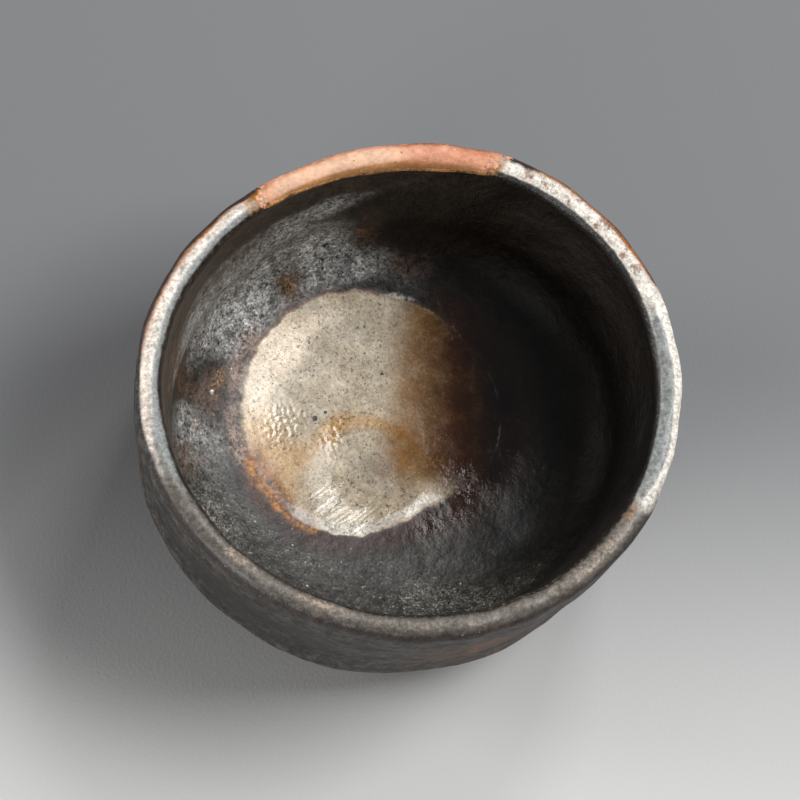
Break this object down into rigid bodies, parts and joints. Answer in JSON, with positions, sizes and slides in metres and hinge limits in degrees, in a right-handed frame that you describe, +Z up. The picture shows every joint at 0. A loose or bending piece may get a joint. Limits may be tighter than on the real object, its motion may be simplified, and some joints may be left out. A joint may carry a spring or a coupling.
{
  "type": "tea bowl",
  "caption": "Hand-formed stoneware tea bowl, slightly oval, with a thick rounded lip, dark glazed walls, a pale glaze pool inside and a low foot ring.",
  "frame": {"origin": "centre of the foot ring's resting face, on the surface that the bowl stands on", "axes": "+Z up along the bowl's axis, out of its mouth; +X along the bowl's wider side; +Y towards the bare stretch of the lip"},
  "size_m": [0.1204, 0.1135, 0.0644],
  "materials": {
    "stoneware": "bare fired clay, matt, salmon where flashed by the fire",
    "ash_glaze": "pale ash glaze, satin, with brown iron specks",
    "iron_glaze_inside": "dark iron glaze, rough with a metallic sheen",
    "pool_glaze": "thick pale ash glaze, glossy, with black iron specks",
    "iron_glaze_outside": "dark iron glaze, satin, rust-coloured in places"
  },
  "bodies": {
    "root": {"clay_body": "stoneware", "foot_ring": "stoneware", "lip_glaze": "ash_glaze", "inner_glaze": "iron_glaze_inside", "well_glaze": "pool_glaze", "outer_glaze": "iron_glaze_outside"}
  },
  "joints": []
}
